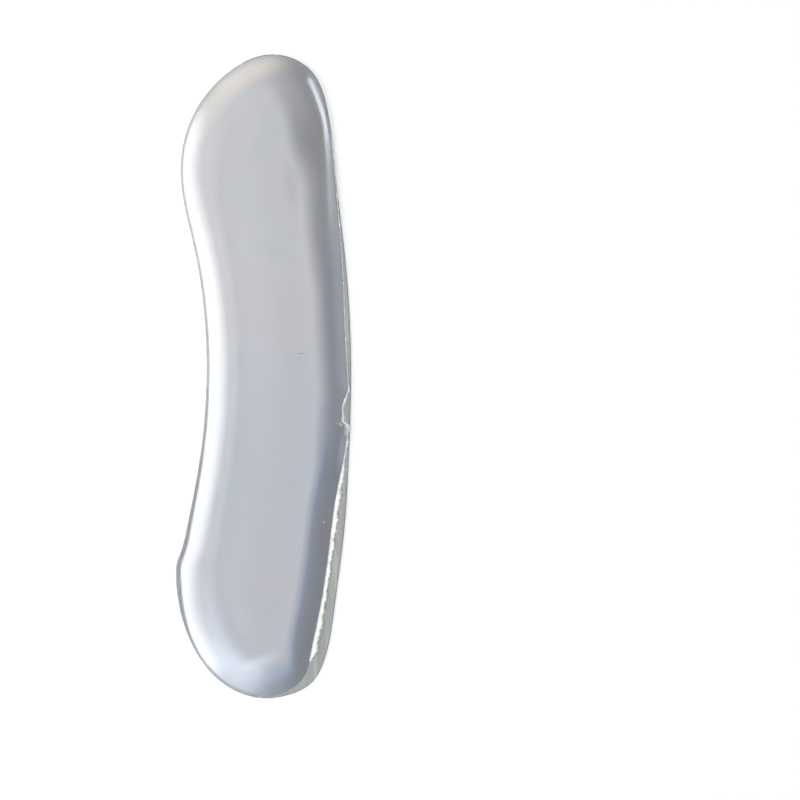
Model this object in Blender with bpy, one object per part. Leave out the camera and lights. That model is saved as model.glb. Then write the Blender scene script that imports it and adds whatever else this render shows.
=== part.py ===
"""Clear gel heel protector: a crowned gel pad on a thin die-cut backing film.

The pad lies flat, adhesive side down, with its long axis along Y, its hollow side
towards -X and its straighter side towards +X. The origin is the middle of the box
that it fills, at the underside of the film.
"""

from typing import NamedTuple

import bmesh
import bpy
import numpy as np

# Gel pad, in metres
GEL_LENGTH = 0.0942
GEL_WIDTH = 0.0248
GEL_HEIGHT = 0.0029
SHOULDER_WIDEST = 0.0070
CROWN_HEIGHT = 0.0002
END_REACH = 0.0125

# Upright edge at the foot, and the slope in degrees with which the shoulder leaves it
EDGE_WALL = 0.0003
FOOT_SLOPE = 40

# Backing film under the gel, whose rim shows all round
FILM_THICKNESS = 0.0003
RIM_WIDEST = 0.0023
SEAT_GAP = 0.0003

# Nick in the foot of the gel on the straighter side
NICK_DEPTH = 0.0010
NICK_LENGTH = 0.0048
NICK_RAMP = 0.0028
NICK_RETURN = 0.0010
NICK_MIDDLE = -0.0038

# How finely the faces are cut
OUTLINE_STEPS = 240
SHOULDER_SHARES = (0.0, 0.2, 0.4, 0.55, 0.7, 0.85, 1.0)
SLOPE_STEPS = 120
STEEPNESS_POWERS = np.linspace(0.4, 8.0, 77)
PLATEAU_SHARES = (0.30, 0.60, 0.85)
SHOULDER_LIMIT = 0.85


class OutlinePoint(NamedTuple):
    """One point of the gel's foot, in shares of the gel's own sizes."""

    place: str
    across: float  # share of GEL_WIDTH from the middle, towards the straighter side
    along: float   # share of GEL_LENGTH from the middle, towards the upper end
    rim: float     # share of RIM_WIDEST that the film stands out there
    shoulder: float  # share of SHOULDER_WIDEST that the shoulder is wide there


OUTLINE = (
    OutlinePoint("upper_tip", 0.040, 0.499, 0.09, 1.00),
    OutlinePoint("upper_end", 0.262, 0.476, 0.08, 0.98),
    OutlinePoint("upper_corner", 0.364, 0.416, 0.07, 0.96),
    OutlinePoint("straight_shoulder", 0.417, 0.303, 0.08, 0.82),
    OutlinePoint("straight_upper", 0.452, 0.196, 0.21, 0.70),
    OutlinePoint("straight_middle", 0.484, 0.020, 0.29, 0.68),
    OutlinePoint("straight_bulge", 0.493, -0.085, 0.13, 0.66),
    OutlinePoint("straight_below", 0.451, -0.150, 0.47, 0.61),
    OutlinePoint("straight_turn", 0.413, -0.202, 0.75, 0.58),
    OutlinePoint("straight_hip", 0.388, -0.254, 0.83, 0.58),
    OutlinePoint("straight_lower", 0.332, -0.356, 0.89, 0.59),
    OutlinePoint("lower_corner", 0.266, -0.441, 0.92, 0.66),
    OutlinePoint("lower_turn", 0.236, -0.468, 0.66, 0.76),
    OutlinePoint("lower_end", 0.152, -0.490, 0.30, 0.84),
    OutlinePoint("lower_tip", -0.015, -0.500, 0.15, 0.94),
    OutlinePoint("lower_slope", -0.264, -0.474, 0.12, 0.98),
    OutlinePoint("lower_bulge", -0.450, -0.401, 0.17, 0.94),
    OutlinePoint("lower_lobe", -0.505, -0.313, 0.28, 0.84),
    OutlinePoint("lower_bend", -0.502, -0.294, 0.26, 0.80),
    OutlinePoint("hollow_turn", -0.480, -0.277, 0.25, 0.78),
    OutlinePoint("hollow_hip", -0.446, -0.240, 0.23, 0.74),
    OutlinePoint("hollow_flank", -0.378, -0.140, 0.18, 0.70),
    OutlinePoint("waist", -0.336, 0.018, 0.14, 0.70),
    OutlinePoint("upper_flank", -0.414, 0.200, 0.10, 0.74),
    OutlinePoint("upper_lobe", -0.495, 0.322, 0.09, 0.84),
    OutlinePoint("upper_bulge", -0.435, 0.397, 0.10, 0.94),
    OutlinePoint("upper_slope", -0.255, 0.462, 0.10, 1.00),
)


def clear_scene():
    """Remove every object that the file opened with."""
    for thing in list(bpy.data.objects):
        bpy.data.objects.remove(thing, do_unlink=True)


def closed_spline(values, knots, at):
    """Smooth closed curve through values, one row per point, read at the lengths in at.

    It is the periodic cubic spline: between two knots the curve is a cubic, and its
    second derivative, found from one linear system, runs on without a jump.
    """
    count = len(values)
    steps = np.diff(knots)
    rows = np.arange(count)
    before = (rows - 1) % count
    after = (rows + 1) % count
    system = np.zeros((count, count))
    system[rows, before] += steps[before]
    system[rows, rows] += 2 * (steps[before] + steps)
    system[rows, after] += steps
    rise = (values[after] - values) / steps[:, None]
    bends = np.linalg.solve(system, 6 * (rise - rise[before]))
    span = np.clip(np.searchsorted(knots, at, side="right") - 1, 0, count - 1)
    width = steps[span][:, None]
    left = (knots[span + 1] - at)[:, None] / width
    right = 1 - left
    straight = left * values[span] + right * values[after[span]]
    curved = (left**3 - left) * bends[span] + (right**3 - right) * bends[after[span]]
    return straight + curved * width**2 / 6


def fill_box(points, width, length):
    """Stretch an outline so that it measures exactly width by length about its middle."""
    low = points.min(axis=0)
    high = points.max(axis=0)
    return (points - (low + high) / 2) * (np.array((width, length)) / (high - low))


def outward_normals(points):
    """Unit normals of a closed outline, pointing away from what it encloses."""
    along = np.roll(points, -1, axis=0) - np.roll(points, 1, axis=0)
    normals = np.stack((along[:, 1], -along[:, 0]), axis=1)
    normals /= np.linalg.norm(normals, axis=1, keepdims=True)
    ahead = np.roll(points, -1, axis=0)
    twice_area = np.sum(points[:, 0] * ahead[:, 1] - ahead[:, 0] * points[:, 1])
    return normals if twice_area > 0 else -normals


def pad_outlines():
    """Foot of the gel, edge of the film and width of the shoulder, point by point.

    Foot and edge are (N, 2) arrays about the origin, and the width is an (N) array.
    """
    shares = np.array(
        [(p.across * GEL_WIDTH, p.along * GEL_LENGTH, p.rim, p.shoulder) for p in OUTLINE]
    )
    ring = np.vstack((shares[:, :2], shares[:1, :2]))
    knots = np.concatenate(([0.0], np.cumsum(np.linalg.norm(np.diff(ring, axis=0), axis=1))))
    at = np.linspace(0.0, knots[-1], OUTLINE_STEPS, endpoint=False)
    curve = closed_spline(shares, knots, at)
    foot = fill_box(curve[:, :2], GEL_WIDTH, GEL_LENGTH)
    film = foot + outward_normals(foot) * (RIM_WIDEST * curve[:, 2:3])
    middle = (film.min(axis=0) + film.max(axis=0)) / 2
    return foot - middle, film - middle, SHOULDER_WIDEST * curve[:, 3]


def middle_line(foot):
    """Point of the pad's middle line that each point of the foot faces.

    The line runs half way between the two sides and stops END_REACH short of the
    ends, so the points round an end all face the line's last point.
    """
    top = int(foot[:, 1].argmax())
    ring = np.roll(foot, -top, axis=0)
    bottom = int(ring[:, 1].argmin())
    down = ring[:bottom + 1][::-1]
    up = np.vstack((ring[bottom:], ring[:1]))
    along = np.clip(foot[:, 1], foot[:, 1].min() + END_REACH, foot[:, 1].max() - END_REACH)
    across = (np.interp(along, down[:, 1], down[:, 0]) + np.interp(along, up[:, 1], up[:, 0])) / 2
    return np.stack((across, along), axis=1)


def smooth_step(share):
    """Rise from 0 to 1 with level ends, as share goes from 0 to 1."""
    share = np.clip(share, 0.0, 1.0)
    return share * share * (3 - 2 * share)


def nick_depths(foot):
    """How far each point of the foot is nicked inwards: a long ramp and a short return."""
    upper = NICK_MIDDLE + NICK_LENGTH / 2
    lower = NICK_MIDDLE - NICK_LENGTH / 2
    ramp = smooth_step((upper - foot[:, 1]) / NICK_RAMP)
    back = smooth_step((foot[:, 1] - lower + NICK_RETURN) / NICK_RETURN)
    return np.where(foot[:, 0] > 0, NICK_DEPTH * ramp * back, 0.0)


def shoulder_rise(share, power):
    """Height at a share of the width of a shoulder 1 wide, one value for each power.

    The slope falls from FOOT_SLOPE at the foot to level at the plateau as 1 less the
    share raised to the power, and the height adds up the slope's tangent.
    """
    shares = share * (np.arange(SLOPE_STEPS)[:, None] + 0.5) / SLOPE_STEPS
    return share * np.tan(np.radians(FOOT_SLOPE) * (1 - shares**power)).mean(axis=0)


def gel_rings(foot, shoulder):
    """Rings of (x, y, z) points from the gel's foot to the middle of its plateau.

    An upright edge rises by EDGE_WALL, then the shoulder up to GEL_HEIGHT, with the
    power that lets it leave the foot at FOOT_SLOPE, so a wide shoulder is softer. The
    plateau rises from there by CROWN_HEIGHT to a level middle. The nick is deepest
    at the foot and dies out up the shoulder.
    """
    inward = middle_line(foot) - foot
    reach = np.linalg.norm(inward, axis=1)
    inward /= reach[:, None]
    shoulder = np.minimum(shoulder, SHOULDER_LIMIT * reach)
    nick = nick_depths(foot)
    rise = GEL_HEIGHT - EDGE_WALL
    power = np.interp(rise / shoulder, shoulder_rise(1.0, STEEPNESS_POWERS), STEEPNESS_POWERS)
    rings = [(np.minimum(nick, reach * SHOULDER_LIMIT), np.zeros(len(foot)))]
    for share in SHOULDER_SHARES:
        distance = np.minimum(np.hypot(shoulder * share, nick), reach * SHOULDER_LIMIT)
        height = shoulder_rise(share, power) / shoulder_rise(1.0, power)
        rings.append((distance, EDGE_WALL + rise * height))
    edge, top = rings[-1]
    for share in PLATEAU_SHARES:
        crown = CROWN_HEIGHT * smooth_step(share / PLATEAU_SHARES[-1])
        rings.append((edge + (reach - edge) * share, top + crown))
    return [
        np.column_stack((foot + inward * distance[:, None], height))
        for distance, height in rings
    ]


def film_rings(film):
    """Lower and upper ring of the flat film."""
    return [np.column_stack((film, np.full(len(film), height))) for height in (0.0, FILM_THICKNESS)]


def skin_rings(name, rings, material):
    """Object made of a stack of rings, joined by quads and closed by a face at each end."""
    mesh = bpy.data.meshes.new(name)
    shape = bmesh.new()
    loops = [[shape.verts.new(point) for point in ring] for ring in rings]
    for lower, upper in zip(loops, loops[1:]):
        for here in range(len(lower)):
            ahead = (here + 1) % len(lower)
            shape.faces.new((lower[here], lower[ahead], upper[ahead], upper[here]))
    shape.faces.new(reversed(loops[0]))
    shape.faces.new(loops[-1])
    bmesh.ops.recalc_face_normals(shape, faces=shape.faces)
    shape.to_mesh(mesh)
    shape.free()
    mesh.shade_smooth()
    mesh.set_sharp_from_angle(angle=np.radians(40))
    mesh.materials.append(material)
    piece = bpy.data.objects.new(name, mesh)
    bpy.context.scene.collection.objects.link(piece)
    return piece


def clear_plastic(name, colour, roughness, ior, transmission):
    """Principled material of a clear soft plastic."""
    material = bpy.data.materials.new(name)
    material.use_nodes = True
    shader = material.node_tree.nodes["Principled BSDF"]
    shader.inputs["Base Color"].default_value = (*colour, 1.0)
    shader.inputs["Roughness"].default_value = roughness
    shader.inputs["Metallic"].default_value = 0.0
    shader.inputs["IOR"].default_value = ior
    shader.inputs["Transmission Weight"].default_value = transmission
    return material


def build_pad():
    """Build the film and the gel that sits on it, both under one empty."""
    gel_finish = clear_plastic("clear_gel", (0.53, 0.55, 0.59), 0.08, 1.48, 0.6)
    film_finish = clear_plastic("clear_film", (0.38, 0.39, 0.39), 0.15, 1.50, 0.5)
    foot, edge, shoulder = pad_outlines()
    film = skin_rings("backing_film", film_rings(edge), film_finish)
    gel = skin_rings("gel_pad", gel_rings(foot, shoulder), gel_finish)
    gel.location.z = FILM_THICKNESS + SEAT_GAP
    root = bpy.data.objects.new("heel_protector", None)
    bpy.context.scene.collection.objects.link(root)
    film.parent = root
    gel.parent = root


clear_scene()
build_pad()
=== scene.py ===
"""Looks of a clear gel heel protector lying adhesive side down on a pale surface.

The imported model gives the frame: the gel's foot and the film's edge are read from its
two nodes, and every fine surface here is built inside them. X is across the pad, towards
its straighter side, Y along it and Z up. Lengths are in metres.
"""

import logging
import math
from dataclasses import dataclass, field
from enum import Enum
from typing import Any

import bpy
import numpy as np
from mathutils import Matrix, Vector


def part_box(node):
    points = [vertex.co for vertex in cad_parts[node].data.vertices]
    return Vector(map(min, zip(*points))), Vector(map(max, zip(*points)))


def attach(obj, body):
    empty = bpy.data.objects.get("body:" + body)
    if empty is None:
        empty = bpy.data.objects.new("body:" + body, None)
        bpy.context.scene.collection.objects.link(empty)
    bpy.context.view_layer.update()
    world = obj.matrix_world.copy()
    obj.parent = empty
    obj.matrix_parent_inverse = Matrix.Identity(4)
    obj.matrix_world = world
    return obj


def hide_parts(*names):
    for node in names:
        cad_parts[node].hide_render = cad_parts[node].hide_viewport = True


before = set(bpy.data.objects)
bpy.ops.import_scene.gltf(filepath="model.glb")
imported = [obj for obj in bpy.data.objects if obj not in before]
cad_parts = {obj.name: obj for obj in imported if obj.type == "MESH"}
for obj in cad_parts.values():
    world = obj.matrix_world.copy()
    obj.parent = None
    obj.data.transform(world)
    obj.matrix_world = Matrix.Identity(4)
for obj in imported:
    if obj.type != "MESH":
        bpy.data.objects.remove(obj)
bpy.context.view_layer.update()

MM = 0.001
# Heights of one packed ring agree to far less than this.
LEVEL_TOLERANCE = 0.005 * MM
# The gel and the flash lie this far above the film, so that no two faces coincide.
SEAT_GAP = 0.01 * MM
# Edges that turn by more than this stay sharp under smooth shading.
SHARP_ANGLE = math.radians(50)
# Numbers of a blend node's colour inputs and of its colour output.
BLEND_GROUND = 6
BLEND_COLOUR = 7
BLEND_RESULT = 2

LOG = logging.getLogger("heel_protector")


class Node(Enum):
    """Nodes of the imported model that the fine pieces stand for."""

    GEL = "gel_pad"
    FILM = "backing_film"


class Slot(Enum):
    """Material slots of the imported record."""

    GEL = "clear_gel"
    FILM = "clear_film"


def linear(colour: str) -> tuple[float, float, float, float]:
    """Turn an sRGB hex colour into linear red, green, blue and an alpha of 1.

    Args:
        colour: Six hex digits after a hash sign.

    Returns:
        The linear colour that a shader socket takes.
    """
    shares = [int(colour[at:at + 2], 16) / 255 for at in (1, 3, 5)]
    red, green, blue = (s / 12.92 if s <= 0.04045 else ((s + 0.055) / 1.055) ** 2.4 for s in shares)
    return red, green, blue, 1.0


def add_node(
    owner: Any,
    kind: str,
    settings: dict[Any, Any] | None = None,
    links: dict[Any, Any] | None = None,
) -> bpy.types.Node:
    """Add a shader node with its settings and its incoming links.

    Args:
        owner: Material or light whose node tree the node joins.
        kind: Blender's name of the node type.
        settings: Property names, or input names or numbers, to their values.
        links: Input names or numbers to the output sockets that feed them.

    Returns:
        The new node.
    """
    tree = owner.node_tree
    node = tree.nodes.new(kind)
    for name, value in (settings or {}).items():
        if isinstance(name, str) and hasattr(node, name):
            setattr(node, name, value)
        else:
            node.inputs[name].default_value = value
    for name, source in (links or {}).items():
        tree.links.new(source, node.inputs[name])
    return node


@dataclass(frozen=True)
class Zone:
    """A smooth change of one value with another.

    The change starts where the other value is at start and is complete at end, which
    may be the lower of the two, and goes from low to high.
    """

    start: float
    end: float
    low: float = 0.0
    high: float = 1.0

    def settings(self) -> dict[Any, Any]:
        """Settings of the map range node that makes the change."""
        return {
            "interpolation_type": "SMOOTHSTEP",
            "From Min": self.start,
            "From Max": self.end,
            "To Min": self.low,
            "To Max": self.high,
        }


@dataclass(frozen=True)
class Mottle:
    """Soft noise about 0.5: how far across its blotches are, and its finer layers."""

    size: float
    layers: float = 2.0

    def settings(self) -> dict[Any, Any]:
        """Settings of the noise node, whose scale is one over the size."""
        return {"Scale": 1 / self.size, "Detail": self.layers}


def stain(owner: Any, value: Any, zone: Zone, ground: Any, colour: str, within: Any = None) -> Any:
    """Blend a colour into the ground by how far a value has come through a zone.

    Args:
        owner: Material that the nodes join.
        value: Output socket of the value.
        zone: Where the colour comes in, and its shares there.
        ground: Output socket of the colour so far, or a hex colour.
        colour: Hex colour that comes in.
        within: Output socket of a share that the colour is held back by, or None.

    Returns:
        Output socket of the blend.
    """
    share = add_node(owner, "ShaderNodeMapRange", zone.settings(), {"Value": value}).outputs[0]
    if within is not None:
        held = add_node(owner, "ShaderNodeMath", {"operation": "MULTIPLY"}, {0: share, 1: within})
        share = held.outputs[0]
    settings: dict[Any, Any] = {"data_type": "RGBA", BLEND_COLOUR: linear(colour)}
    links = {0: share}
    if isinstance(ground, str):
        settings[BLEND_GROUND] = linear(ground)
    else:
        links[BLEND_GROUND] = ground
    return add_node(owner, "ShaderNodeMix", settings, links).outputs[BLEND_RESULT]


def smooth_step(share: np.ndarray) -> np.ndarray:
    """Rise from 0 to 1 with level ends: 3 s squared less 2 s cubed, s held within 0 and 1."""
    held = np.clip(share, 0.0, 1.0)
    return held * held * (3 - 2 * held)


def closed_spline(points: np.ndarray, steps: int) -> np.ndarray:
    """Read a closed smooth curve through points at equal lengths.

    The curve is the periodic cubic spline over chord length: each span is a cubic
    whose second derivatives at its ends come from one linear system.

    Args:
        points: (N, 2) points in order round the curve.
        steps: How many points to read.

    Returns:
        (steps, 2) points.
    """
    count = len(points)
    ring = np.vstack((points, points[:1]))
    chords = np.linalg.norm(np.diff(ring, axis=0), axis=1)
    knots = np.concatenate(([0.0], np.cumsum(chords)))
    rows = np.arange(count)
    before, after = (rows - 1) % count, (rows + 1) % count
    system = np.zeros((count, count))
    system[rows, before] += chords[before]
    system[rows, rows] += 2 * (chords[before] + chords)
    system[rows, after] += chords
    rise = (points[after] - points) / chords[:, None]
    bends = np.linalg.solve(system, 6 * (rise - rise[before]))
    at = np.linspace(0.0, knots[-1], steps, endpoint=False)
    span = np.clip(np.searchsorted(knots, at, side="right") - 1, 0, count - 1)
    width = chords[span][:, None]
    left = (knots[span + 1] - at)[:, None] / width
    right = 1 - left
    straight = left * points[span] + right * points[after[span]]
    curved = (left**3 - left) * bends[span] + (right**3 - right) * bends[after[span]]
    return straight + curved * width**2 / 6


def outward_normals(points: np.ndarray) -> np.ndarray:
    """Unit normals of a closed curve that runs anticlockwise: its tangents turned right.

    Args:
        points: (N, 2) points in order round the curve.

    Returns:
        (N, 2) normals.
    """
    along = np.roll(points, -1, axis=0) - np.roll(points, 1, axis=0)
    normals = np.stack((along[:, 1], -along[:, 0]), axis=1)
    return normals / np.linalg.norm(normals, axis=1, keepdims=True)


def reach_ring(starts: np.ndarray, ways: np.ndarray, ring: np.ndarray) -> np.ndarray:
    """Distance from each start, along its way, to a closed ring of points.

    Each ray is crossed with every span of the ring: start + way a = point + span b,
    solved for a and b, and the nearest crossing with b within the span counts.

    Args:
        starts: (N, 2) points.
        ways: (N, 2) unit directions.
        ring: (M, 2) points in order.

    Returns:
        (N) distances.
    """
    span = (np.roll(ring, -1, axis=0) - ring)[None]
    offset = ring[None] - starts[:, None]
    way = ways[:, None]
    across = way[..., 0] * span[..., 1] - way[..., 1] * span[..., 0]
    along = (offset[..., 0] * span[..., 1] - offset[..., 1] * span[..., 0]) / across
    share = (offset[..., 0] * way[..., 1] - offset[..., 1] * way[..., 0]) / across
    hit = (share >= 0) & (share <= 1) & (along > 0)
    return np.where(hit, along, np.inf).min(axis=1)


def surface_object(name: str, rings: np.ndarray, material: bpy.types.Material) -> bpy.types.Object:
    """Make a closed smooth object from a stack of rings.

    Ring k's point i joins point i of ring k + 1, so the side is a grid of quads that
    closes on itself, and the first and last ring are each closed by one flat face.

    Args:
        name: Name of the object and its mesh.
        rings: (K, N, 3) points, each ring anticlockwise when looked at from the last
            one, so that the faces point outwards.
        material: The finish of the whole piece.

    Returns:
        The linked object, at the origin.
    """
    levels, count, _ = rings.shape
    here = np.arange(count)
    ahead = (here + 1) % count
    low = (np.arange(levels - 1) * count)[:, None]
    quads = np.stack((low + here, low + ahead, low + count + ahead, low + count + here), axis=2)
    faces = quads.reshape(-1, 4).tolist()
    faces.append(here[::-1].tolist())
    faces.append(((levels - 1) * count + here).tolist())
    mesh = bpy.data.meshes.new(name)
    mesh.from_pydata(rings.reshape(-1, 3).tolist(), [], faces)
    mesh.validate()
    mesh.shade_smooth()
    mesh.set_sharp_from_angle(angle=SHARP_ANGLE)
    mesh.materials.append(material)
    piece = bpy.data.objects.new(name, mesh)
    bpy.context.scene.collection.objects.link(piece)
    return piece


def new_plastic(name: str, ior: float, transmission: float) -> tuple[Any, Any]:
    """Make a Principled material with its even values on the shader's own sockets.

    Args:
        name: Name of the material.
        ior: Index of refraction.
        transmission: Share of the light that goes through the body.

    Returns:
        The material and its Principled shader.
    """
    material = bpy.data.materials.new(name)
    material.use_nodes = True
    shader = material.node_tree.nodes["Principled BSDF"]
    shader.inputs["IOR"].default_value = ior
    shader.inputs["Transmission Weight"].default_value = transmission
    return material, shader


def connect(material: Any, shader: Any, colour: Any, roughness: Any, normal: Any) -> None:
    """Feed the three varied sockets of a Principled shader.

    Args:
        material: Material of the shader.
        shader: The Principled shader.
        colour: Output socket of the body colour.
        roughness: Output socket of the roughness.
        normal: Output socket of the bumped normal.
    """
    for name, source in (("Base Color", colour), ("Roughness", roughness), ("Normal", normal)):
        material.node_tree.links.new(source, shader.inputs[name])


@dataclass(frozen=True)
class BlemishOrPaintedLight:
    """Soft oval marks in the gel's colour: casting marks, painted shade and painted highlights.

    It has a middle and half sizes across and along the pad, and leans anticlockwise by
    some degrees. Its colour comes in by a share, kept over the core's part of its
    radius and gone at the rim's.
    """

    name: str
    across: float
    along: float
    half_wide: float
    half_high: float
    colour: str
    share: float = 0.9
    lean: float = 0.0
    core: float = 0.6
    rim: float = 1.3

    def paint(self, material: Any, place: Any, ground: Any) -> Any:
        """Blend the mark into a colour.

        The place is centred, turned and scaled so that the mark is a circle of radius
        1, and flattened, so that the mark goes straight down through the pad.

        Args:
            material: Material that the nodes join.
            place: Output socket of the place in the pad.
            ground: Output socket of the colour so far.

        Returns:
            Output socket of the colour with the mark.
        """
        oval = add_node(
            material, "ShaderNodeMapping",
            {
                "vector_type": "TEXTURE",
                "Location": (self.across, self.along, 0.0),
                "Rotation": (0.0, 0.0, math.radians(self.lean)),
                "Scale": (self.half_wide, self.half_high, 1.0),
            },
            {"Vector": place},
        )
        flat = add_node(
            material, "ShaderNodeVectorMath", {"operation": "MULTIPLY", 1: (1.0, 1.0, 0.0)},
            {0: oval.outputs[0]},
        )
        away = add_node(
            material, "ShaderNodeVectorMath", {"operation": "LENGTH"}, {0: flat.outputs[0]},
        )
        zone = Zone(self.rim, self.core, 0.0, self.share)
        return stain(material, away.outputs["Value"], zone, ground, self.colour)


@dataclass(frozen=True)
class GelFinish:
    """Clear polyurethane gel, cast in a polished mould.

    The eye sees a wet gloss over a faintly milky body, neutral at the upper end and
    bluer at the lower, that lets the pale surface beneath through. Painted shade
    darkens soft zones on the shaded shoulder and at both ends, and painted highlights
    lighten the lower end and the shoulder by the nick.
    """

    upper_body: str = "#B6B6B8"
    lower_body: str = "#AEB1B7"
    pink_cast: str = "#B6AFB3"
    green_cast: str = "#A9B2B2"
    ior: float = 1.47
    transmission: float = 0.45
    drift: Zone = Zone(-12 * MM, 16 * MM)
    clouds: Mottle = Mottle(9 * MM)
    pink_clouds: Zone = Zone(0.52, 0.72, 0.0, 0.5)
    green_clouds: Zone = Zone(0.48, 0.28, 0.0, 0.5)
    smears: Mottle = Mottle(2.2 * MM, 3.0)
    gloss: Zone = Zone(0.3, 0.7, 0.09, 0.17)
    ripples: Mottle = Mottle(4.5 * MM, 1.0)
    grain: Mottle = Mottle(0.5 * MM)
    grain_share: float = 0.03
    relief: float = 0.05 * MM
    relief_strength: float = 0.5
    blemishes_and_painted_light: tuple[BlemishOrPaintedLight, ...] = (
        # Painted shade: the next six marks darken soft zones on the shaded shoulder and at both ends.
        BlemishOrPaintedLight(
            "painted_shade_corner", across=5.5 * MM, along=35.2 * MM, half_wide=2.1 * MM,
            half_high=7.0 * MM, colour="#808286", share=0.85, lean=12.0, core=0.1,
        ),
        BlemishOrPaintedLight(
            "painted_shade_shoulder", across=7.3 * MM, along=21.5 * MM, half_wide=1.3 * MM,
            half_high=9.0 * MM, colour="#8A8C90", share=0.45, lean=4.0, core=0.1,
        ),
        BlemishOrPaintedLight(
            "painted_shade_wave", across=4.3 * MM, along=27.7 * MM, half_wide=1.2 * MM,
            half_high=3.8 * MM, colour="#8A8C90", share=0.30, lean=8.0, core=0.1,
        ),
        BlemishOrPaintedLight(
            "painted_shade_hip", across=8.7 * MM, along=-9.0 * MM, half_wide=1.2 * MM,
            half_high=6.5 * MM, colour="#808488", share=0.40, lean=-2.0, core=0.1,
        ),
        BlemishOrPaintedLight(
            "painted_shade_crown", across=3.4 * MM, along=41.2 * MM, half_wide=2.1 * MM,
            half_high=3.7 * MM, colour="#808286", share=0.48, lean=25.0, core=0.1,
        ),
        BlemishOrPaintedLight(
            "painted_shade_end", across=1.0 * MM, along=-43.4 * MM, half_wide=2.8 * MM,
            half_high=1.0 * MM, colour="#7F90A6", share=0.42, lean=30.0, core=0.1,
        ),
        # Painted highlight: a pale bluish glow at the lower end.
        BlemishOrPaintedLight(
            "painted_highlight_end", across=-0.4 * MM, along=-41.7 * MM, half_wide=3.0 * MM,
            half_high=1.0 * MM, colour="#E4ECF6", share=0.30, lean=22.0, core=0.1,
        ),
        # A real trapped bubble, painted as its white glint.
        BlemishOrPaintedLight(
            "bubble_with_painted_glint", across=8.9 * MM, along=-21.4 * MM, half_wide=0.12 * MM,
            half_high=0.17 * MM, colour="#FFFFFF",
        ),
        BlemishOrPaintedLight(
            "mould_scratch", across=5.7 * MM, along=3.3 * MM, half_wide=0.60 * MM,
            half_high=0.09 * MM, colour="#97929A",
        ),
        BlemishOrPaintedLight(
            "dust_speck", across=1.7 * MM, along=35.1 * MM, half_wide=0.14 * MM,
            half_high=0.18 * MM, colour="#A9ABB2", share=0.5,
        ),
        # Painted highlights: a pale facet and fold on the shoulder by the nick, and the fold's cream
        # leg.
        BlemishOrPaintedLight(
            "painted_highlight_facet", across=11.5 * MM, along=-10.9 * MM, half_wide=0.55 * MM,
            half_high=3.2 * MM, colour="#E0E6F2", share=0.50, lean=-9.0, core=0.1,
        ),
        BlemishOrPaintedLight(
            "painted_highlight_fold", across=12.2 * MM, along=-7.9 * MM, half_wide=0.32 * MM,
            half_high=0.95 * MM, colour="#E6E8F4",
        ),
        BlemishOrPaintedLight(
            "painted_highlight_fold_leg", across=11.4 * MM, along=-7.05 * MM, half_wide=0.12 * MM,
            half_high=0.50 * MM, colour="#DCDDD2",
        ),
    )

    def body_colour(self, material: Any, place: Any) -> Any:
        """Colour the body: a cool drift along it, faint clouds, casting marks, painted shade and painted
        highlights.

        Args:
            material: Material that the nodes join.
            place: Output socket of the place in the pad.

        Returns:
            Output socket of the colour.
        """
        along = add_node(material, "ShaderNodeSeparateXYZ", links={0: place}).outputs["Y"]
        colour = stain(material, along, self.drift, self.lower_body, self.upper_body)
        clouds = add_node(
            material, "ShaderNodeTexNoise", self.clouds.settings(), {"Vector": place},
        ).outputs["Fac"]
        colour = stain(material, clouds, self.pink_clouds, colour, self.pink_cast)
        colour = stain(material, clouds, self.green_clouds, colour, self.green_cast)
        for mark in self.blemishes_and_painted_light:
            colour = mark.paint(material, place, colour)
        return colour

    def build(self) -> bpy.types.Material:
        """Make the material: smears vary the gloss, and slow ripples with a little grain
        make the relief.

        Returns:
            The material.
        """
        material, shader = new_plastic("cast_polyurethane_gel", self.ior, self.transmission)
        place = add_node(material, "ShaderNodeTexCoord").outputs["Object"]
        smears, grain, ripples = (
            add_node(
                material, "ShaderNodeTexNoise", mottle.settings(), {"Vector": place},
            ).outputs["Fac"]
            for mottle in (self.smears, self.grain, self.ripples)
        )
        height = add_node(
            material, "ShaderNodeMath", {"operation": "MULTIPLY_ADD", 1: self.grain_share},
            {0: grain, 2: ripples},
        )
        bump = add_node(
            material, "ShaderNodeBump", {"Strength": self.relief_strength, "Distance": self.relief},
            {"Height": height.outputs[0]},
        )
        gloss = add_node(material, "ShaderNodeMapRange", self.gloss.settings(), {"Value": smears})
        colour = self.body_colour(material, place)
        connect(material, shader, colour, gloss.outputs[0], bump.outputs[0])
        return material


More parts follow.
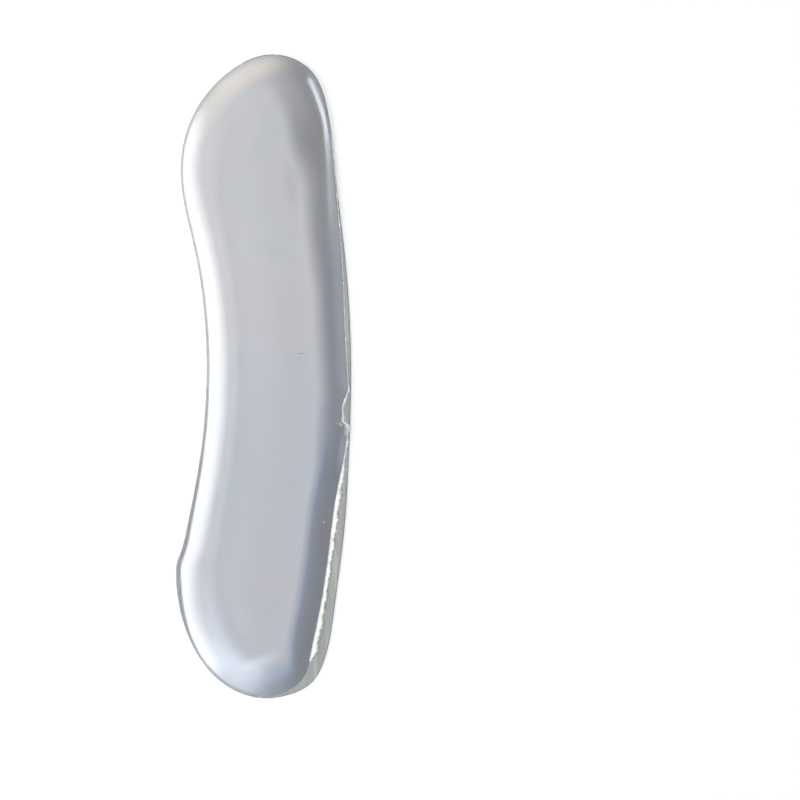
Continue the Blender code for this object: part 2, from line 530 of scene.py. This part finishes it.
@dataclass(frozen=True)
class FilmFinish:
    """Clear PET film, calendered smooth and die-cut.

    The eye sees pale grey over the white surface, darker low on the hollow side, and
    on the straighter side fine light and dark streaks along the rim, where the film
    was drawn in the calender. The streaks are the film's noise drawn out along the pad
    by one over the stretch, and lean by streak_lean degrees.
    """

    hollow_upper: str = "#8E9191"
    hollow_lower: str = "#6D7070"
    straight_body: str = "#7F817C"
    streak_light: str = "#A0A39D"
    streak_dark: str = "#5F625E"
    ior: float = 1.5
    transmission: float = 0.3
    rise: Zone = Zone(-14 * MM, 2 * MM)
    turn: Zone = Zone(-3 * MM, 5 * MM)
    streaks: Mottle = Mottle(0.9 * MM, 1.5)
    stretch: float = 0.06
    streak_lean: float = 10.0
    light_streaks: Zone = Zone(0.5, 0.72, 0.0, 0.4)
    dark_streaks: Zone = Zone(0.48, 0.3, 0.0, 0.35)
    gloss: Zone = Zone(0.3, 0.7, 0.14, 0.28)
    relief: float = 0.02 * MM
    relief_strength: float = 0.1

    def build(self) -> bpy.types.Material:
        """Make the material: the body turns from the hollow side's to the straighter
        side's, where the streaks come in.

        Returns:
            The material.
        """
        material, shader = new_plastic("die_cut_clear_film", self.ior, self.transmission)
        place = add_node(material, "ShaderNodeTexCoord").outputs["Object"]
        axes = add_node(material, "ShaderNodeSeparateXYZ", links={0: place})
        across, along = axes.outputs["X"], axes.outputs["Y"]
        colour = stain(material, along, self.rise, self.hollow_lower, self.hollow_upper)
        colour = stain(material, across, self.turn, colour, self.straight_body)
        stretched = add_node(
            material, "ShaderNodeMapping",
            {"Rotation": (0.0, 0.0, math.radians(self.streak_lean)), "Scale": (1.0, self.stretch, 1.0)},
            {"Vector": place},
        )
        streaks = add_node(
            material, "ShaderNodeTexNoise", self.streaks.settings(), {"Vector": stretched.outputs[0]},
        ).outputs["Fac"]
        straight = add_node(
            material, "ShaderNodeMapRange", self.turn.settings(), {"Value": across},
        ).outputs[0]
        colour = stain(material, streaks, self.light_streaks, colour, self.streak_light, straight)
        colour = stain(material, streaks, self.dark_streaks, colour, self.streak_dark, straight)
        bump = add_node(
            material, "ShaderNodeBump", {"Strength": self.relief_strength, "Distance": self.relief},
            {"Height": streaks},
        )
        gloss = add_node(material, "ShaderNodeMapRange", self.gloss.settings(), {"Value": streaks})
        connect(material, shader, colour, gloss.outputs[0], bump.outputs[0])
        return material


@dataclass(frozen=True)
class FlashFinish:
    """Gel flash that squeezed out under the mould and was trimmed by hand.

    It is thin gel whose cream-white colour is painted highlight, the bright line of light
    along the foot, greyer where it is thinnest above the nick, with painted glints in it.
    """

    # Painted highlight: the cream-white line, its greyer upper part and its white glints.
    body: str = "#E0E1D5"
    upper_body: str = "#CDD2CF"
    glint: str = "#FFFFFF"
    thin_spot: str = "#B4B9AA"
    ior: float = 1.47
    transmission: float = 0.05
    clear: Zone = Zone(-17 * MM, -12 * MM)
    mottle: Mottle = Mottle(0.9 * MM, 3.0)
    thin_spots: Zone = Zone(0.42, 0.28)
    glints: Zone = Zone(0.55, 0.7)
    gloss: Zone = Zone(0.3, 0.7, 0.2, 0.4)
    relief: float = 0.05 * MM
    relief_strength: float = 0.4

    def build(self) -> bpy.types.Material:
        """Make the material: one mottle gives the spots, the gloss and the relief.

        Returns:
            The material.
        """
        material, shader = new_plastic("gel_flash_painted_highlight", self.ior, self.transmission)
        place = add_node(material, "ShaderNodeTexCoord").outputs["Object"]
        along = add_node(material, "ShaderNodeSeparateXYZ", links={0: place}).outputs["Y"]
        mottle = add_node(
            material, "ShaderNodeTexNoise", self.mottle.settings(), {"Vector": place},
        ).outputs["Fac"]
        colour = stain(material, along, self.clear, self.body, self.upper_body)
        colour = stain(material, mottle, self.thin_spots, colour, self.thin_spot)
        colour = stain(material, mottle, self.glints, colour, self.glint)
        bump = add_node(
            material, "ShaderNodeBump", {"Strength": self.relief_strength, "Distance": self.relief},
            {"Height": mottle},
        )
        gloss = add_node(material, "ShaderNodeMapRange", self.gloss.settings(), {"Value": mottle})
        connect(material, shader, colour, gloss.outputs[0], bump.outputs[0])
        return material


@dataclass
class PadOutline:
    """Fine outlines of the pad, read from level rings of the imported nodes.

    The nick is a notch in the foot of the straighter side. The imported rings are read
    without it, and its depth is worked out again at each fine point.
    """

    steps: int = 1100
    crown: float = 0.2 * MM
    nick_top: float = -1.5 * MM
    nick_bottom: float = -7.6 * MM
    nick_depth: float = 1.0 * MM
    nick_ramp: float = 3.2 * MM
    nick_return: float = 1.0 * MM
    nick_margin: float = 1.0 * MM
    foot: np.ndarray = field(init=False)
    shoulder_top: np.ndarray = field(init=False)
    edge: np.ndarray = field(init=False)
    nick: np.ndarray = field(init=False)

    def __post_init__(self) -> None:
        """Read the outlines and work out the nick."""
        self.edge = closed_spline(self.level_ring(Node.FILM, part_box(Node.FILM.value)[0].z), self.steps)
        low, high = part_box(Node.GEL.value)
        self.foot = closed_spline(self.without_nick(self.level_ring(Node.GEL, low.z)), self.steps)
        self.shoulder_top = closed_spline(
            self.without_nick(self.level_ring(Node.GEL, high.z - self.crown)), self.steps,
        )
        self.nick = self.nick_depths(self.foot)

    @staticmethod
    def level_ring(node: Node, level: float) -> np.ndarray:
        """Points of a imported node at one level, in order round its middle.

        Args:
            node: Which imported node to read.
            level: Height of the ring.

        Returns:
            (N, 2) points, anticlockwise.
        """
        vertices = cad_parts[node.value].data.vertices
        places = np.empty(len(vertices) * 3)
        vertices.foreach_get("co", places)
        places = places.reshape(-1, 3)
        near = places[np.abs(places[:, 2] - level) < LEVEL_TOLERANCE, :2]
        ring = np.unique(np.round(near, 7), axis=0)
        return ring[np.argsort(np.arctan2(ring[:, 1], ring[:, 0]))]

    def without_nick(self, ring: np.ndarray) -> np.ndarray:
        """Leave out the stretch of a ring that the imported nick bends.

        Args:
            ring: (N, 2) points.

        Returns:
            The points that are left.
        """
        top, bottom = self.nick_top + self.nick_margin, self.nick_bottom - self.nick_margin
        nicked = (ring[:, 0] > 0) & (ring[:, 1] < top) & (ring[:, 1] > bottom)
        return ring[~nicked]

    def nick_depths(self, points: np.ndarray) -> np.ndarray:
        """How far the foot is nicked inwards: a long smooth ramp down and a short way back.

        Args:
            points: (N, 2) points of the foot.

        Returns:
            (N) depths, 0 outside the nick.
        """
        ramp_down = smooth_step((self.nick_top - points[:, 1]) / self.nick_ramp)
        way_back = smooth_step((points[:, 1] - self.nick_bottom) / self.nick_return)
        return np.where(points[:, 0] > 0, self.nick_depth * ramp_down * way_back, 0.0)


@dataclass
class GelPad:
    """The crowned gel body: a flat underside, an upright edge, a shoulder and a plateau."""

    outline: PadOutline
    finish: GelFinish = field(default_factory=GelFinish)
    edge_wall: float = 0.5 * MM
    edge_round: float = 0.12 * MM
    foot_slope: float = 40.0
    end_reach: float = 12.5 * MM
    round_rows: int = 7
    shoulder_rows: int = 44
    plateau_rows: int = 24
    slope_steps: int = 120
    underside_shares: tuple[float, ...] = (0.97, 0.5, 0.1)
    plateau_reach: float = 0.97
    least_power: float = 0.4
    most_power: float = 8.0
    power_tries: int = 77

    def middle_line(self) -> np.ndarray:
        """Point of the middle line that each point of the foot faces.

        It lies half way between the two sides at the foot point's own place along the
        pad, and stops end_reach short of the ends.

        Returns:
            (N, 2) points.
        """
        foot = self.outline.foot
        ring = np.roll(foot, -int(foot[:, 1].argmax()), axis=0)
        bottom = int(ring[:, 1].argmin())
        one_side = ring[:bottom + 1][::-1]
        other_side = np.vstack((ring[bottom:], ring[:1]))
        low, high = foot[:, 1].min() + self.end_reach, foot[:, 1].max() - self.end_reach
        along = np.clip(foot[:, 1], low, high)
        sides = [np.interp(along, side[:, 1], side[:, 0]) for side in (one_side, other_side)]
        return np.stack((sum(sides) / 2, along), axis=1)

    def shoulder_rise(self, share: float, power: np.ndarray) -> np.ndarray:
        """Height at a share of the width of a shoulder 1 wide, one value for each power.

        The slope falls from foot_slope at the foot to level at the plateau as 1 less
        the share raised to the power, and the height adds up the slope's tangent.

        Args:
            share: How far in from the foot, as a share of the shoulder's width.
            power: (N) powers.

        Returns:
            (N) heights.
        """
        shares = share * (np.arange(self.slope_steps)[:, None] + 0.5) / self.slope_steps
        return share * np.tan(math.radians(self.foot_slope) * (1 - shares**power)).mean(axis=0)

    def rings(self) -> np.ndarray:
        """Rings of the gel from its underside's middle, out, up the shoulder and in.

        Over an upright edge with a small round, the shoulder rises by the power that
        lets it leave the foot at foot_slope, so a wide shoulder is softer. The nick
        fades up it: each inset is the cube root of its own cube and the nick's added.
        The plateau then crowns by a smooth step towards the middle line.

        Returns:
            (K, N, 3) points.
        """
        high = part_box(Node.GEL.value)[1]
        outline = self.outline
        foot, nick = outline.foot, outline.nick
        inward = self.middle_line() - foot
        reach = np.linalg.norm(inward, axis=1)
        inward /= reach[:, None]
        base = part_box(Node.FILM.value)[1].z + SEAT_GAP
        foot_level = base + self.edge_wall
        rise = high.z - outline.crown - foot_level
        width = reach_ring(foot, inward, outline.shoulder_top)
        powers = np.linspace(self.least_power, self.most_power, self.power_tries)
        power = np.interp(rise / width, self.shoulder_rise(1.0, powers), powers)
        level = np.ones(len(foot))
        rings = [(reach * share, base * level) for share in self.underside_shares]
        rings.append((nick, base * level))
        slope = math.radians(self.foot_slope)
        for angle in np.linspace(math.pi / 2, slope, self.round_rows):
            inset = self.edge_round * (1 - math.sin(angle))
            drop = self.edge_round * (math.cos(slope) - math.cos(angle))
            rings.append((nick + inset, (foot_level - drop) * level))
        full = self.shoulder_rise(1.0, power)
        for share in np.linspace(0, 1, self.shoulder_rows)[1:]:
            height = foot_level + rise * self.shoulder_rise(share, power) / full
            rings.append((np.cbrt((width * share)**3 + nick**3), height))
        edge, top = rings[-1]
        for share in np.linspace(0, self.plateau_reach, self.plateau_rows)[1:]:
            crown = outline.crown * smooth_step(share / self.plateau_reach)
            rings.append((edge + (reach - edge) * share, top + crown))
        return np.stack([
            np.column_stack((foot + inward * distance[:, None], height)) for distance, height in rings
        ])

    def build(self) -> bpy.types.Object:
        """Make the gel, dressed and riding the frame.

        Returns:
            The linked object.
        """
        piece = surface_object("gel_pad_body", self.rings(), self.finish.build())
        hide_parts(Node.GEL.value)
        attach(piece, "root")
        return piece


@dataclass
class BackingFilm:
    """The thin film under the gel, whose rim shows round it."""

    outline: PadOutline
    finish: FilmFinish = field(default_factory=FilmFinish)
    flat_from: float = 0.2 * MM
    face_shares: tuple[float, ...] = (0.95, 0.5)
    edge_rows: int = 9

    def rings(self) -> np.ndarray:
        """Rings of the film: flat below, a cut edge rounded as a half circle, flat above.

        The faces shrink towards the origin by their shares, and a ring at flat_from
        keeps the edge's smooth shading off them.

        Returns:
            (K, N, 3) points.
        """
        low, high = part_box(Node.FILM.value)
        edge = self.outline.edge
        inward = -outward_normals(edge)
        rings = [(edge * (1 - share), low.z) for share in self.face_shares]
        rings.append((edge + inward * self.flat_from, low.z))
        half = (high.z - low.z) / 2
        for angle in np.linspace(-math.pi / 2, math.pi / 2, self.edge_rows):
            depth = half * (1 - math.cos(angle))
            rings.append((edge + inward * depth, low.z + half + half * math.sin(angle)))
        rings.append((edge + inward * self.flat_from, high.z))
        rings += [(edge * (1 - share), high.z) for share in reversed(self.face_shares)]
        return np.stack([
            np.column_stack((ring, np.full(len(ring), level))) for ring, level in rings
        ])

    def build(self) -> bpy.types.Object:
        """Make the film, dressed and riding the frame.

        Returns:
            The linked object.
        """
        piece = surface_object("backing_film_sheet", self.rings(), self.finish.build())
        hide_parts(Node.FILM.value)
        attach(piece, "root")
        return piece


@dataclass(frozen=True)
class FlashPoint:
    """Width of the flash at one place along the straighter side."""

    place: str
    along: float
    width: float


@dataclass
class FlashBead:
    """The thin line of squeezed-out gel along the foot of the straighter side.

    Each of its waves is a wavelength along the pad and a start angle in radians.
    """

    outline: PadOutline
    finish: FlashFinish = field(default_factory=FlashFinish)
    height_share: float = 0.4
    ragged: float = 0.10
    waves: tuple[tuple[float, float], ...] = ((3.7 * MM, 0.3), (1.9 * MM, 1.7), (0.83 * MM, 4.1))
    dome_steps: int = 9
    bottom_steps: int = 4
    end_reach: float = 0.8
    end_share: float = 0.02
    widths: tuple[FlashPoint, ...] = (
        FlashPoint("upper_start", 36.0 * MM, 0.05 * MM),
        FlashPoint("upper_shoulder", 32.5 * MM, 0.13 * MM),
        FlashPoint("upper_run", 20.0 * MM, 0.14 * MM),
        FlashPoint("above_nick", -0.5 * MM, 0.17 * MM),
        FlashPoint("nick_ramp", -3.0 * MM, 0.34 * MM),
        FlashPoint("nick", -5.0 * MM, 0.46 * MM),
        FlashPoint("nick_fold", -6.8 * MM, 0.42 * MM),
        FlashPoint("below_nick", -8.8 * MM, 0.24 * MM),
        FlashPoint("thin_run", -12.0 * MM, 0.36 * MM),
        FlashPoint("lower_start", -15.2 * MM, 0.72 * MM),
        FlashPoint("lower_run", -18.2 * MM, 0.84 * MM),
        FlashPoint("lower_wide", -21.0 * MM, 0.90 * MM),
        FlashPoint("lower_thin", -28.5 * MM, 0.70 * MM),
        FlashPoint("lower_even", -33.0 * MM, 0.78 * MM),
        FlashPoint("lower_bulb", -37.5 * MM, 0.98 * MM),
        FlashPoint("lower_end", -40.7 * MM, 0.92 * MM),
        FlashPoint("lower_hook", -42.0 * MM, 0.30 * MM),
    )

    def run(self) -> tuple[np.ndarray, np.ndarray, np.ndarray]:
        """Follow the nicked foot along the flash.

        The width is read between the named places and made ragged by sines whose
        wavelengths share no short common multiple.

        Returns:
            (N, 2) points, (N, 2) ways out from them and (N) widths.
        """
        outline = self.outline
        nicked = outline.foot - outward_normals(outline.foot) * outline.nick[:, None]
        places = sorted(self.widths, key=lambda point: point.along)
        along = [point.along for point in places]
        side = (nicked[:, 0] > 0) & (nicked[:, 1] >= along[0]) & (nicked[:, 1] <= along[-1])
        path = nicked[side][np.argsort(nicked[side][:, 1])]
        width = np.interp(path[:, 1], along, [point.width for point in places])
        for length, start in self.waves:
            width = width * (1 + self.ragged * np.sin(path[:, 1] * math.tau / length + start))
        tangent = np.gradient(path, axis=0)
        out = np.stack((tangent[:, 1], -tangent[:, 0]), axis=1)
        return path, out / np.linalg.norm(out, axis=1, keepdims=True), width

    def rings(self) -> np.ndarray:
        """Cross-sections along the flash, each a flat bottom under a half ellipse.

        Over end_reach of a width at either end they shrink as a circle does: the width
        times the square root of n (2 - n), where n is how far the end is, as a share of
        that reach, and not under end_share. Each runs from the foot over the top to the
        outer side and back along the bottom.

        Returns:
            (K, N, 3) points.
        """
        path, out, width = self.run()
        travelled = np.concatenate(([0.0], np.cumsum(np.linalg.norm(np.diff(path, axis=0), axis=1))))
        to_end = np.minimum(travelled, travelled[-1] - travelled)
        near = np.clip(to_end / (self.end_reach * width), self.end_share, 1.0)
        width = width * np.sqrt(near * (2 - near))
        dome = np.linspace(math.pi, 0, self.dome_steps)
        bottom = np.linspace(1, -1, self.bottom_steps)[1:-1]
        across = np.concatenate((np.cos(dome), bottom)) / 2 + 0.5
        up = np.concatenate((np.sin(dome), np.zeros(len(bottom))))
        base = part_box(Node.FILM.value)[1].z + SEAT_GAP
        flat = path[:, None, :] + out[:, None, :] * (width[:, None] * across)[:, :, None]
        level = base + self.height_share * width[:, None] * up
        return np.concatenate((flat, level[:, :, None]), axis=2)

    def build(self) -> bpy.types.Object:
        """Make the flash, dressed and riding the frame.

        Returns:
            The linked object.
        """
        piece = surface_object("gel_flash_bead", self.rings(), self.finish.build())
        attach(piece, "root")
        return piece


class Role(Enum):
    """What a light is hung for."""

    SHADING = "shading"
    GLOSS = "gloss"


@dataclass(frozen=True)
class Softbox:
    """One rectangular softbox that faces the pad.

    Azimuth is measured anticlockwise from +X seen from above, and elevation above the
    floor. Wide and high are the angles that it fills, all in degrees. Radiance is how
    bright its face is, where 1 is a white wall in full light. The soft shares are how
    much of its width and height each fading edge takes.
    """

    name: str
    azimuth: float
    elevation: float
    wide: float
    high: float
    radiance: float
    colour: str = "#FFFFFF"
    role: Role = Role.GLOSS
    soft_wide: float = 0.0
    soft_high: float = 0.0
    shadow: bool = True
    distance: float = 1.0

    def fade_edges(self, data: bpy.types.Light) -> None:
        """Fade the face towards its edges, by a smooth step over the soft shares.

        Along each side the distance to the nearer edge is the lesser of the place and
        1 less the place, and the two sides' steps are multiplied.

        Args:
            data: The light's data.
        """
        data.use_nodes = True
        place = add_node(data, "ShaderNodeNewGeometry").outputs["Parametric"]
        sides = add_node(data, "ShaderNodeSeparateXYZ", links={0: place})
        steps = {}
        for axis, soft in enumerate((self.soft_wide, self.soft_high)):
            along = sides.outputs[axis]
            rest = add_node(data, "ShaderNodeMath", {"operation": "SUBTRACT", 0: 1.0}, {1: along})
            edge = add_node(
                data, "ShaderNodeMath", {"operation": "MINIMUM"}, {0: along, 1: rest.outputs[0]},
            )
            step = add_node(
                data, "ShaderNodeMapRange", Zone(0.0, soft).settings(), {"Value": edge.outputs[0]},
            )
            steps[axis] = step.outputs[0]
        level = add_node(data, "ShaderNodeMath", {"operation": "MULTIPLY"}, steps)
        shine = data.node_tree.nodes["Emission"]
        data.node_tree.links.new(level.outputs[0], shine.inputs["Strength"])

    def hang(self) -> None:
        """Make the light at its place."""
        data = bpy.data.lights.new(self.name, "AREA")
        data.shape = "RECTANGLE"
        data.size = 2 * self.distance * math.tan(math.radians(self.wide / 2))
        data.size_y = 2 * self.distance * math.tan(math.radians(self.high / 2))
        data.energy = self.radiance * math.pi * data.size * data.size_y
        data.color = linear(self.colour)[:3]
        data.use_shadow = self.shadow
        if self.soft_wide > 0:
            self.fade_edges(data)
        light = bpy.data.objects.new(self.name, data)
        around, above = math.radians(self.azimuth), math.radians(self.elevation)
        level = math.cos(above)
        way = Vector((level * math.cos(around), level * math.sin(around), math.sin(above)))
        light.location = way * self.distance
        light.rotation_euler = (-way).to_track_quat("-Z", "Y").to_euler()
        light.visible_camera = False
        light.visible_diffuse = self.role is Role.SHADING
        light.visible_transmission = self.role is Role.SHADING
        light.visible_glossy = self.role is Role.GLOSS
        bpy.context.scene.collection.objects.link(light)


@dataclass
class Studio:
    """Pale floor, soft lights and the camera."""

    floor_colour: str = "#FBFBFB"
    floor_half: float = 3.0
    floor_drop: float = 0.02 * MM
    floor_roughness: float = 0.9
    floor_gloss: float = 0.1
    room_colour: str = "#F2F5FA"
    room_light: float = 0.25
    frame_width: float = 117.78 * MM
    sensor_width: float = 36.0
    camera_height: float = 420 * MM
    camera_x: float = 20.09 * MM
    camera_y: float = -3.49 * MM
    clip_start: float = 0.01
    clip_end: float = 10.0
    lights: tuple[Softbox, ...] = (
        Softbox(
            "key", azimuth=186, elevation=38, wide=60, high=50, radiance=5.3,
            role=Role.SHADING, shadow=False, distance=4.0,
        ),
        Softbox(
            "left_glow", azimuth=187, elevation=8, wide=94, high=65, radiance=12.2,
            soft_wide=0.3, soft_high=0.5,
        ),
        Softbox(
            "veil", azimuth=205, elevation=86, wide=131, high=131, radiance=4.8,
            colour="#F4F6FF", soft_wide=0.43, soft_high=0.43,
        ),
        Softbox(
            "upper_warm_glow", azimuth=117, elevation=20, wide=100, high=62, radiance=7.4,
            colour="#FFEFD8", soft_wide=0.45, soft_high=0.5,
        ),
        Softbox(
            "lower_cool_glow", azimuth=235, elevation=26, wide=76, high=90, radiance=9.6,
            colour="#DBE8FC", soft_wide=0.45, soft_high=0.5,
        ),
        Softbox(
            "lower_blue_glow", azimuth=318, elevation=36, wide=96, high=52, radiance=3.3,
            colour="#86B4F4", soft_wide=0.3, soft_high=0.5,
        ),
        Softbox(
            "right_low_glow", azimuth=26, elevation=8, wide=62, high=26, radiance=4.0,
            colour="#CFE2F6", soft_wide=0.2, soft_high=0.5,
        ),
        Softbox(
            "right_streak", azimuth=28, elevation=16, wide=38, high=10, radiance=18.0,
            colour="#EAF2FF", soft_wide=0.25, soft_high=0.45,
        ),
    )

    def floor(self) -> None:
        """Lay the pale floor a hair under the pad, so that the two faces don't coincide."""
        mesh = bpy.data.meshes.new("floor")
        half, level = self.floor_half, -self.floor_drop
        corners = [(x * half, y * half, level) for x, y in ((-1, -1), (1, -1), (1, 1), (-1, 1))]
        mesh.from_pydata(corners, [], [(0, 1, 2, 3)])
        material = bpy.data.materials.new("matt_white_table")
        material.use_nodes = True
        shader = material.node_tree.nodes["Principled BSDF"]
        shader.inputs["Base Color"].default_value = linear(self.floor_colour)
        shader.inputs["Roughness"].default_value = self.floor_roughness
        shader.inputs["Specular IOR Level"].default_value = self.floor_gloss
        mesh.materials.append(material)
        floor = bpy.data.objects.new("floor", mesh)
        bpy.context.scene.collection.objects.link(floor)

    def world(self) -> None:
        """Give the room its even grey light."""
        world = bpy.data.worlds.new("studio")
        world.use_nodes = True
        shade = world.node_tree.nodes["Background"]
        shade.inputs["Color"].default_value = linear(self.room_colour)
        shade.inputs["Strength"].default_value = self.room_light
        bpy.context.scene.world = world

    def camera(self) -> None:
        """Put the camera straight above the middle of the photograph's frame."""
        data = bpy.data.cameras.new("camera")
        data.sensor_width = self.sensor_width
        data.lens = data.sensor_width * self.camera_height / self.frame_width
        data.clip_start, data.clip_end = self.clip_start, self.clip_end
        camera = bpy.data.objects.new("camera", data)
        camera.location = (self.camera_x, self.camera_y, self.camera_height)
        bpy.context.scene.collection.objects.link(camera)
        bpy.context.scene.camera = camera

    def build(self) -> None:
        """Set up everything round the pad."""
        self.camera()
        self.floor()
        self.world()
        for light in self.lights:
            light.hang()
        view = bpy.context.scene.view_settings
        view.view_transform = "Standard"
        view.look = "None"


def main() -> None:
    """Build the studio and the pad, and log each piece."""
    logging.basicConfig(level=logging.INFO, format="%(name)s: %(message)s")
    Studio().build()
    outline = PadOutline()
    for piece in (BackingFilm(outline).build(), GelPad(outline).build(), FlashBead(outline).build()):
        LOG.info("%s: %d faces", piece.name, len(piece.data.polygons))


if __name__ == "__main__":
    main()
